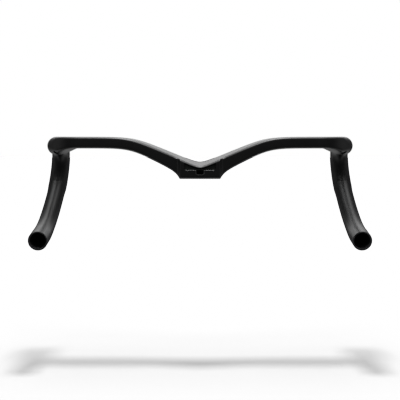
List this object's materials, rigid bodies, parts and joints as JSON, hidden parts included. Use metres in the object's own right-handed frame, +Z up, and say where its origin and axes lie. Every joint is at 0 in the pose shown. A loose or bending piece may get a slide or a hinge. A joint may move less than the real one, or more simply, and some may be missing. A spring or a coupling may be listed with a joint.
{
  "type": "drop handlebar",
  "caption": "Drop handlebar with gull-wing tops rising from a boxed centre block, flared compact drops with open ends, and an internal pitch cradle for the stem bolts.",
  "frame": {"origin": "centre of the flat stem seat under the centre block", "axes": "+X along the bar towards the rider's right hand, +Y forward, +Z up; the stem seat faces -Z"},
  "size_m": [0.4298, 0.1639, 0.143],
  "materials": {
    "carbon_wing": "satin clear-coated carbon laminate, near black",
    "carbon_hook": "satin clear-coated carbon laminate with a fine grip texture",
    "carbon_grip": "satin clear-coated carbon laminate, near black",
    "joint_sleeve": "bare moulded laminate",
    "grommet": "matt moulded rubber",
    "cradle_alloy": "black anodised, bead blasted",
    "steel": "ground",
    "bush": "moulded bearing resin"
  },
  "bodies": {
    "bar": {"centre_block": "carbon_wing", "left_arm": "carbon_wing", "right_arm": "carbon_wing", "left_hook": "carbon_hook", "right_hook": "carbon_hook", "left_grip": "carbon_grip", "right_grip": "carbon_grip", "left_ramp_sleeve": "joint_sleeve", "right_ramp_sleeve": "joint_sleeve", "left_grip_sleeve": "joint_sleeve", "right_grip_sleeve": "joint_sleeve", "left_port_grommet": "grommet", "right_port_grommet": "grommet", "left_trunnion_bush": "bush", "right_trunnion_bush": "bush", "hose_mouth_grommet": "grommet"},
    "cradle": {"pitch_cradle": "cradle_alloy", "left_trunnion": "steel", "right_trunnion": "steel", "stem_thread_inserts": "steel"}
  },
  "joints": [
    {"name": "pitch_adjust", "type": "hinge", "parent": "bar", "child": "cradle", "pos_m": [0, 0, 0.0105], "axis": [1, 0, 0], "range_deg": [-4, 4]}
  ]
}
